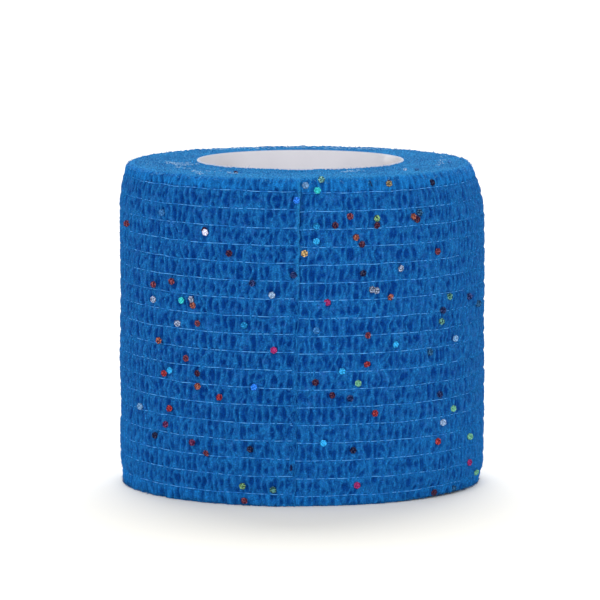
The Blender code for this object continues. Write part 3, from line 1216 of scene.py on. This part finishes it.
def object_noise(tree, size, detail=2.0, roughness=0.5):
    """Noise on the piece's own coordinates, with spots of about this size in metres."""
    where = add_node(tree, "ShaderNodeTexCoord")
    made = add_node(tree, "ShaderNodeTexNoise", Scale=1.0 / size, Detail=detail, Roughness=roughness)
    tree.links.new(where.outputs["Object"], made.inputs["Vector"])
    return made.outputs["Fac"]


def bumpy(tree, shader, value, strength, distance):
    """Fine bumps in the shading, far smaller than the mesh can hold."""
    bump = add_node(tree, "ShaderNodeBump", Strength=strength, Distance=distance)
    tree.links.new(value, bump.inputs["Height"])
    tree.links.new(bump.outputs["Normal"], shader.inputs["Normal"])


# %% Crepe cloth
CREST_BLUE = (0.0060, 0.119, 0.396)
PALE_BLUE = (0.021, 0.247, 0.625)
# The hollows' blue is partly painted shade and partly the deeper dye there.
HOLLOW_SHADE_BLUE = (0.0005, 0.043, 0.246)
FELT_BLUE = (0.032, 0.288, 0.625)
FELT_SHADE = (0.006, 0.145, 0.395)
VIOLET_BLUE = (0.030, 0.130, 0.480)
# Blue of the painted light on the top row and the lower side.
PAINTED_LIGHT_BLUE = (0.011, 0.212, 0.630)


def crepe_finish():
    """Felted blue crepe: pale crests, hollows in painted shade, felted rims, and painted light on the top
    row and the foot.
    """
    material, tree, shader = new_finish("crepe_blue_cloth", 0.9, 0.05)
    hollow, felt_and_light, pale = carried(tree, "hollow"), carried(tree, "felt_and_light"), carried(tree, "pale")
    speckle = stretched(tree, object_noise(tree, 0.26 * MM, 3.0, 0.7), 0.44, 0.72)
    grain = stretched(tree, object_noise(tree, 0.22 * MM, 2.0, 0.6), 0.35, 0.65)
    drift = stretched(tree, object_noise(tree, 1.1 * MM, 3.0, 0.7), 0.52, 0.72, 0.0, 0.6)
    crest = mix_colours(tree, speckle, CREST_BLUE, PALE_BLUE)
    crest = mix_colours(tree, drift, crest, VIOLET_BLUE)
    # Painted light: the top row and the lower side are painted paler.
    crest = mix_colours(tree, weakened(tree, pale, 0.7), crest, PAINTED_LIGHT_BLUE)
    napped = mix_colours(tree, grain, FELT_SHADE, FELT_BLUE)
    # Felt, and the painted light at the foot, take the felt colours.
    high = mix_colours(tree, felt_and_light, crest, napped)
    # Colour of the hollows: partly painted shade, partly deeper dye.
    deep = mix_colours(tree, weakened(tree, felt_and_light, 0.8), HOLLOW_SHADE_BLUE, FELT_SHADE)
    # Painted light makes the hollows paler there too.
    deep = mix_colours(tree, weakened(tree, pale, 0.38), deep, CREST_BLUE)
    # Painted shade, mixed in by how deep in a hollow a point lies.
    colour = mix_colours(tree, stretched(tree, hollow, 0.15, 0.78), high, deep)
    nap = stretched(tree, object_noise(tree, 0.16 * MM, 2.0, 0.7), 0.32, 0.68, 0.47, 1.43)
    colour = mix_colours(tree, 1.0, colour, nap, "MULTIPLY")
    tree.links.new(colour, shader.inputs["Base Color"])
    bumpy(tree, shader, object_noise(tree, 0.14 * MM, 4.0, 0.75), 0.8, 0.09 * MM)
    return material


crepe_blue = crepe_finish()
print("crepe", len(crepe_blue.node_tree.nodes), "nodes")

# %% Threads, fibres and lint
def strand_finish(name, pale, dim, dash):
    """Two colours that change along a strand, in dashes about this long."""
    material, tree, shader = new_finish(name, 0.7, 0.1)
    share = stretched(tree, object_noise(tree, dash, 2.0, 0.6), 0.42, 0.58)
    tree.links.new(mix_colours(tree, share, dim, pale), shader.inputs["Base Color"])
    return material


thread_blue = strand_finish("elastic_thread", (0.11, 0.44, 0.96), (0.015, 0.20, 0.66), 0.9 * MM)
fibre_blue = strand_finish("felt_fibre", (0.021, 0.205, 0.49), (0.003, 0.078, 0.29), 0.5 * MM)
nap_blue = strand_finish("top_nap", (0.11, 0.42, 0.78), (0.005, 0.11, 0.37), 0.6 * MM)
lint_pale = strand_finish("lint_fibre", (0.46, 0.68, 0.86), (0.14, 0.42, 0.74), 0.8 * MM)

# %% Foil
def foil_finish():
    """Foil with painted glints, bright and dark points over its colour, and a painted shadow round its
    border.
    """
    material, tree, shader = new_finish("glitter_foil", 0.6, 0.03)
    foil, glint_share = carried(tree, "foil", "Color"), carried(tree, "foil", "Alpha")
    edge_shadow = carried(tree, "edge_shadow")
    # Painted glints: the foil is painted with bright and dark points.
    points = object_noise(tree, 0.17 * MM, 1.0, 0.5)
    glint_colour = add_node(tree, "ShaderNodeVectorMath", operation="MULTIPLY_ADD")
    glint_colour.inputs[1].default_value = (2.0, 2.0, 2.0)
    glint_colour.inputs[2].default_value = (0.05, 0.05, 0.07)
    tree.links.new(foil, glint_colour.inputs[0])
    dark = mix_colours(tree, 0.85, foil, (0.003, 0.006, 0.035))
    glinting = mix_colours(tree, stretched(tree, points, 0.54, 0.60), foil, glint_colour.outputs["Vector"])
    glinting = mix_colours(tree, stretched(tree, points, 0.49, 0.44), glinting, dark)
    shown = mix_colours(tree, glint_share, foil, glinting)
    # Painted shadow round the border, where the flake sits in the cloth.
    shadow_edged = mix_colours(tree, stretched(tree, edge_shadow, 0.2, 1.0, 0.0, 0.7), shown, (0.003, 0.015, 0.080))
    tree.links.new(shadow_edged, shader.inputs["Base Color"])
    return material


glitter_foil = foil_finish()

# %% Core plastic
CORE_GREY, CORE_PALE = (0.742, 0.735, 0.780), (0.782, 0.777, 0.820)
# Brownish grey of the painted shade inside the core.
CORE_SHADE_GREY = (0.63, 0.585, 0.555)
# Blue-grey of the painted shade on top of the lip.
LIP_SHADE_GREY = (0.40, 0.44, 0.54)


def core_finish():
    """Smooth pale plastic, a little cloudy, with brownish painted shade in patches and darker painted
    shade along the top of its lip.
    """
    material, tree, shader = new_finish("core_plastic", 0.6, 0.08)
    cloud = stretched(tree, object_noise(tree, 6.0 * MM, 3.0), 0.3, 0.7)
    colour = mix_colours(tree, cloud, CORE_GREY, CORE_PALE)
    # Painted shade in brownish patches on the inside.
    colour = mix_colours(tree, carried(tree, "core_shade"), colour, CORE_SHADE_GREY)
    # Painted shade along the top of the lip.
    colour = mix_colours(tree, carried(tree, "lip_shade"), colour, LIP_SHADE_GREY)
    tree.links.new(colour, shader.inputs["Base Color"])
    bumpy(tree, shader, object_noise(tree, 0.5 * MM, 3.0), 0.15, 0.02 * MM)
    return material


core_plastic = core_finish()
print("core", len(core_plastic.node_tree.nodes), "nodes")

# %% [markdown]
# ## Putting it together
#
# The cloth pieces stand for the plain solid of the bandage, and the finer tube for the core. All
# of them ride on the one body of the roll.

# %% Dress the roll
def dress(piece, material):
    """Gives a piece its finish, the body it rides on and the slot that its finish belongs to."""
    piece.data.materials.clear()
    piece.data.materials.append(material)
    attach(piece, "root")


for piece in (*side_pieces, end_top, end_foot):
    dress(piece, crepe_blue)
    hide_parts("bandage")
dress(threads, thread_blue)
dress(fibres, fibre_blue)
dress(nap, nap_blue)
dress(lint, lint_pale)
dress(glitter, glitter_foil)
dress(core_tube, core_plastic)
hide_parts("core")

# %% [markdown]
# ## Floor and light
#
# The photograph was taken on white with light from all round. A white world gives that even light,
# and a very soft sun from above and behind lifts the floor to pure white, except in front of the roll.
# A soft fill from the front makes the middle of the side a little brighter than its two limbs.

# %% Floor and light
FLOOR_SIZE = 8.0
FLOOR_WHITE = (0.965, 0.945, 0.88, 1.0)
SKY = 0.72
SUN_STRENGTH = 2.2
SUN_SPREAD = math.radians(50)
FILL_STRENGTH = 0.95
FILL_SPREAD = math.radians(70)


def studio_floor():
    """A wide white floor, which is part of the stage and not of the roll."""
    bm = bmesh.new()
    bmesh.ops.create_grid(bm, x_segments=1, y_segments=1, size=FLOOR_SIZE / 2)
    mesh = bpy.data.meshes.new("studio_floor")
    bm.to_mesh(mesh)
    bm.free()
    floor = new_piece("studio_floor", mesh)
    material, _, shader = new_finish("studio_white", 0.9)
    shader.inputs["Base Color"].default_value = FLOOR_WHITE
    mesh.materials.append(material)


def soft_sun(name, come_from, strength, spread):
    """Light from far away, whose shadows are softened by its width in the sky."""
    data = bpy.data.lights.new(name, "SUN")
    data.energy = strength
    data.angle = spread
    lamp = bpy.data.objects.new(name, data)
    lamp.rotation_euler = Vector(come_from).to_track_quat("Z", "Y").to_euler()
    bpy.context.scene.collection.objects.link(lamp)


studio_floor()
soft_sun("overhead", (0.0, 1.0, 1.0), SUN_STRENGTH, SUN_SPREAD)
soft_sun("front_fill", (-0.1, -1.0, 0.5), FILL_STRENGTH, FILL_SPREAD)

world = bpy.data.worlds.new("studio_world")
world.use_nodes = True
world.node_tree.nodes["Background"].inputs["Color"].default_value = (1.0, 1.0, 1.0, 1.0)
world.node_tree.nodes["Background"].inputs["Strength"].default_value = SKY
bpy.context.scene.world = world
bpy.context.scene.view_settings.view_transform = "Standard"

# %% [markdown]
# ## Count the triangles
#
# The triangles of all the dressed pieces are counted and printed.

# %% Finish
bpy.context.view_layer.update()
pieces = (*side_pieces, end_top, end_foot, threads, fibres, nap, lint, glitter, core_tube)
total = sum(len(piece.data.loop_triangles) for piece in pieces)
print("triangles", total)
